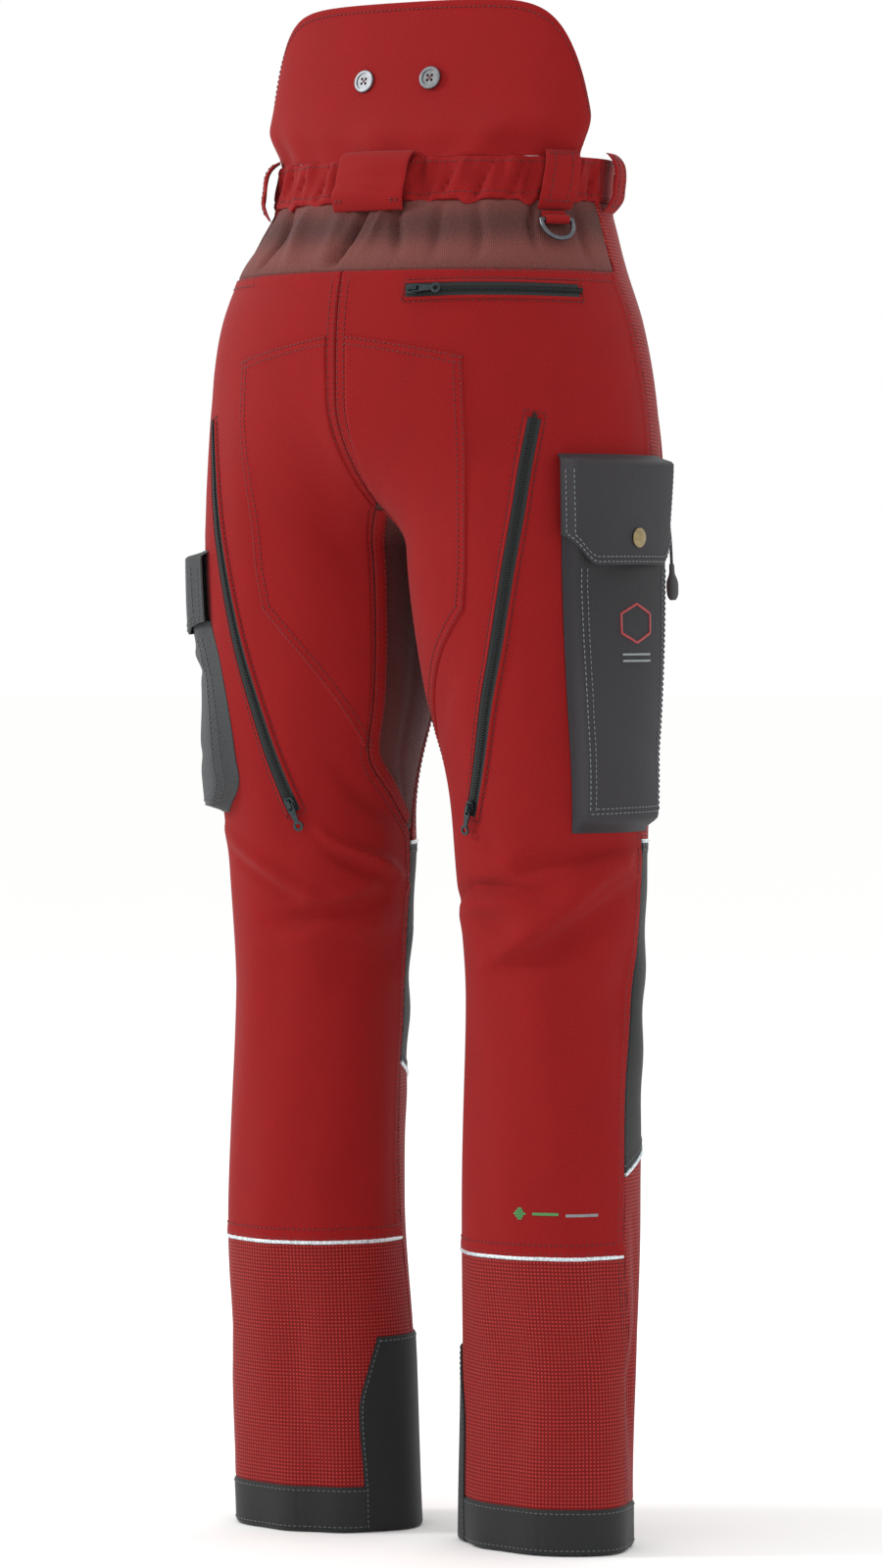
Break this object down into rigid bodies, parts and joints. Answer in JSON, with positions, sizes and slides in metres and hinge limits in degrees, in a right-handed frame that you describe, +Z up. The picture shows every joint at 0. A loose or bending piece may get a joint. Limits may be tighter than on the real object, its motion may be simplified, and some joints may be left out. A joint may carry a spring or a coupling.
{
  "type": "chainsaw protective trousers",
  "caption": "Full-length chainsaw protective trousers with a raised back bib, vent zips, thigh pockets, belt loops and a D-ring, on the body's shape.",
  "frame": {"origin": "centre of the waist opening, level with the top of the waistband", "axes": "+Z up the body, -Y towards the front, +X towards the wearer's left"},
  "size_m": [0.4202, 0.2756, 1.215],
  "materials": {
    "red_softshell": "matt twill stretch weave",
    "red_ripstop": "coarse ripstop grid, matt",
    "maroon_stretch": "satin elastic knit",
    "gusset_mesh": "matt mesh",
    "charcoal_cordura": "matt dense nylon weave",
    "navy_ripstop": "matt ripstop with light thread",
    "hem_cloth": "matt plain weave",
    "protective_felt": "layered loose fibre",
    "bib_lining": "matt brushed lining over foam",
    "elastic": "ribbed elastic",
    "reflective_piping": "retroreflective film",
    "zip_tape": "woven tape with nylon coil",
    "facing_cloth": "plain weave",
    "black_zinc": "satin black enamel",
    "black_rubber": "matt moulded",
    "cord": "braided",
    "antique_brass": "antique, satin",
    "nickel": "polished nickel",
    "dark_steel": "dark nickel"
  },
  "bodies": {
    "trousers": {"back_bib": "red_softshell", "back_leg_left": "red_softshell", "back_leg_right": "red_softshell", "back_pocket_zip": "zip_tape", "belt_loop_centre": "red_softshell", "belt_loops_back": "red_softshell", "belt_loops_front": "red_softshell", "bib_lining": "bib_lining", "brace_buttons": "nickel", "calf_panel_left": "red_ripstop", "calf_panel_right": "red_ripstop", "cargo_pocket": "navy_ripstop", "crotch_gusset": "gusset_mesh", "cut_protection_left": "protective_felt", "cut_protection_right": "protective_felt", "d_ring_tab": "red_softshell", "fly_facing": "facing_cloth", "fly_zip": "zip_tape", "front_thigh_left": "red_ripstop", "front_thigh_right": "red_ripstop", "hand_pocket_zips": "zip_tape", "hem_band_left": "hem_cloth", "hem_band_right": "hem_cloth", "kick_guards": "charcoal_cordura", "knee_panel_left": "charcoal_cordura", "knee_panel_right": "charcoal_cordura", "knife_pocket": "charcoal_cordura", "reflective_piping": "reflective_piping", "seat_patch_left": "red_softshell", "seat_patch_right": "red_softshell", "shin_panel_left": "red_ripstop", "shin_panel_right": "red_ripstop", "snap_stud": "antique_brass", "stretch_yoke": "maroon_stretch", "vent_zip_left": "zip_tape", "vent_zip_right": "zip_tape", "waist_elastic": "elastic", "waist_snap": "antique_brass", "waist_tab": "red_softshell", "waistband_back": "red_softshell", "waistband_front_left": "red_softshell", "waistband_front_right": "red_softshell"},
    "back_pocket_slider": {"back_pocket_slider": "black_zinc"},
    "back_pocket_pull": {"back_pocket_pull": "black_zinc"},
    "vent_slider_left": {"vent_slider_left": "black_zinc"},
    "vent_pull_left": {"vent_pull_left": "black_zinc"},
    "vent_slider_right": {"vent_slider_right": "black_zinc"},
    "vent_pull_right": {"vent_pull_right": "black_zinc"},
    "hand_slider_left": {"hand_slider_left": "black_zinc"},
    "hand_pull_left": {"hand_pull_left": "black_rubber", "pull_cord_left": "cord"},
    "hand_slider_right": {"hand_slider_right": "black_zinc"},
    "hand_pull_right": {"hand_pull_right": "black_rubber", "pull_cord_right": "cord"},
    "fly_slider": {"fly_slider": "black_zinc"},
    "fly_pull": {"fly_pull": "black_zinc"},
    "d_ring": {"d_ring": "dark_steel"},
    "cargo_flap": {"cargo_flap": "navy_ripstop", "snap_cap": "antique_brass"},
    "knife_pocket_flap": {"knife_pocket_flap": "charcoal_cordura"}
  },
  "joints": [
    {"name": "back_pocket_zip_run", "type": "hinge", "parent": "trousers", "child": "back_pocket_slider", "pos_m": [-0.02337, -0.00589, -0.11631], "axis": [0.0408, -0.0518, 0.9978], "range_deg": [0, 46.33]},
    {"name": "back_pocket_zip_pull_lift", "type": "hinge", "parent": "back_pocket_slider", "child": "back_pocket_pull", "pos_m": [-0.06542, 0.15012, -0.10548], "axis": [-0.0881, 0.2297, -0.9693], "range_deg": [0, 150]},
    {"name": "vent_zip_left_run", "type": "hinge", "parent": "trousers", "child": "vent_slider_left", "pos_m": [-0.13493, -0.47644, -0.27422], "axis": [0.8922, -0.4159, -0.1759], "range_deg": [0, 11.5]},
    {"name": "vent_zip_left_pull_lift", "type": "hinge", "parent": "vent_slider_left", "child": "vent_pull_left", "pos_m": [0.08415, 0.10018, -0.50743], "axis": [0.9108, 0.2078, -0.3567], "range_deg": [0, 150]},
    {"name": "vent_zip_right_run", "type": "hinge", "parent": "trousers", "child": "vent_slider_right", "pos_m": [0.13493, -0.47644, -0.27422], "axis": [0.8922, 0.4159, 0.1759], "range_deg": [0, 11.5]},
    {"name": "vent_zip_right_pull_lift", "type": "hinge", "parent": "vent_slider_right", "child": "vent_pull_right", "pos_m": [-0.08415, 0.10018, -0.50743], "axis": [0.9108, -0.2078, 0.3567], "range_deg": [0, 150]},
    {"name": "hand_pocket_zip_left_run", "type": "hinge", "parent": "trousers", "child": "hand_slider_left", "pos_m": [-0.07917, 0.37112, -0.18235], "axis": [-0.8254, -0.4586, -0.3293], "range_deg": [0, 15.02]},
    {"name": "hand_pocket_zip_left_pull_lift", "type": "hinge", "parent": "hand_slider_left", "child": "hand_pull_left", "pos_m": [0.18471, -0.03372, -0.27158], "axis": [-0.4395, -0.8154, -0.3767], "range_deg": [0, 150]},
    {"name": "hand_pocket_zip_right_run", "type": "hinge", "parent": "trousers", "child": "hand_slider_right", "pos_m": [0.07917, 0.37112, -0.18235], "axis": [-0.8254, 0.4586, 0.3293], "range_deg": [0, 15.02]},
    {"name": "hand_pocket_zip_right_pull_lift", "type": "hinge", "parent": "hand_slider_right", "child": "hand_pull_right", "pos_m": [-0.18471, -0.03372, -0.27158], "axis": [-0.4395, 0.8154, 0.3767], "range_deg": [0, 150]},
    {"name": "fly_zip_run", "type": "hinge", "parent": "trousers", "child": "fly_slider", "pos_m": [0, 0.52137, -0.18578], "axis": [1, 0, 0], "range_deg": [0, 11.77]},
    {"name": "fly_zip_pull_lift", "type": "hinge", "parent": "fly_slider", "child": "fly_pull", "pos_m": [0, -0.10326, -0.04759], "axis": [-1, 0, 0], "range_deg": [0, 150]},
    {"name": "d_ring_swing", "type": "hinge", "parent": "trousers", "child": "d_ring", "pos_m": [-0.14015, 0.0603, -0.05046], "axis": [0.5367, 0.8438, 0], "range_deg": [0, 110]},
    {"name": "cargo_flap_lift", "type": "hinge", "parent": "trousers", "child": "cargo_flap", "pos_m": [-0.19382, 0.04832, -0.23287], "axis": [0.232, 0.9727, 0.0005], "range_deg": [0, 80]},
    {"name": "knife_flap_lift", "type": "hinge", "parent": "trousers", "child": "knife_pocket_flap", "pos_m": [0.19084, 0.05412, -0.30625], "axis": [0.2635, -0.9647, 0.0004], "range_deg": [0, 80]}
  ]
}
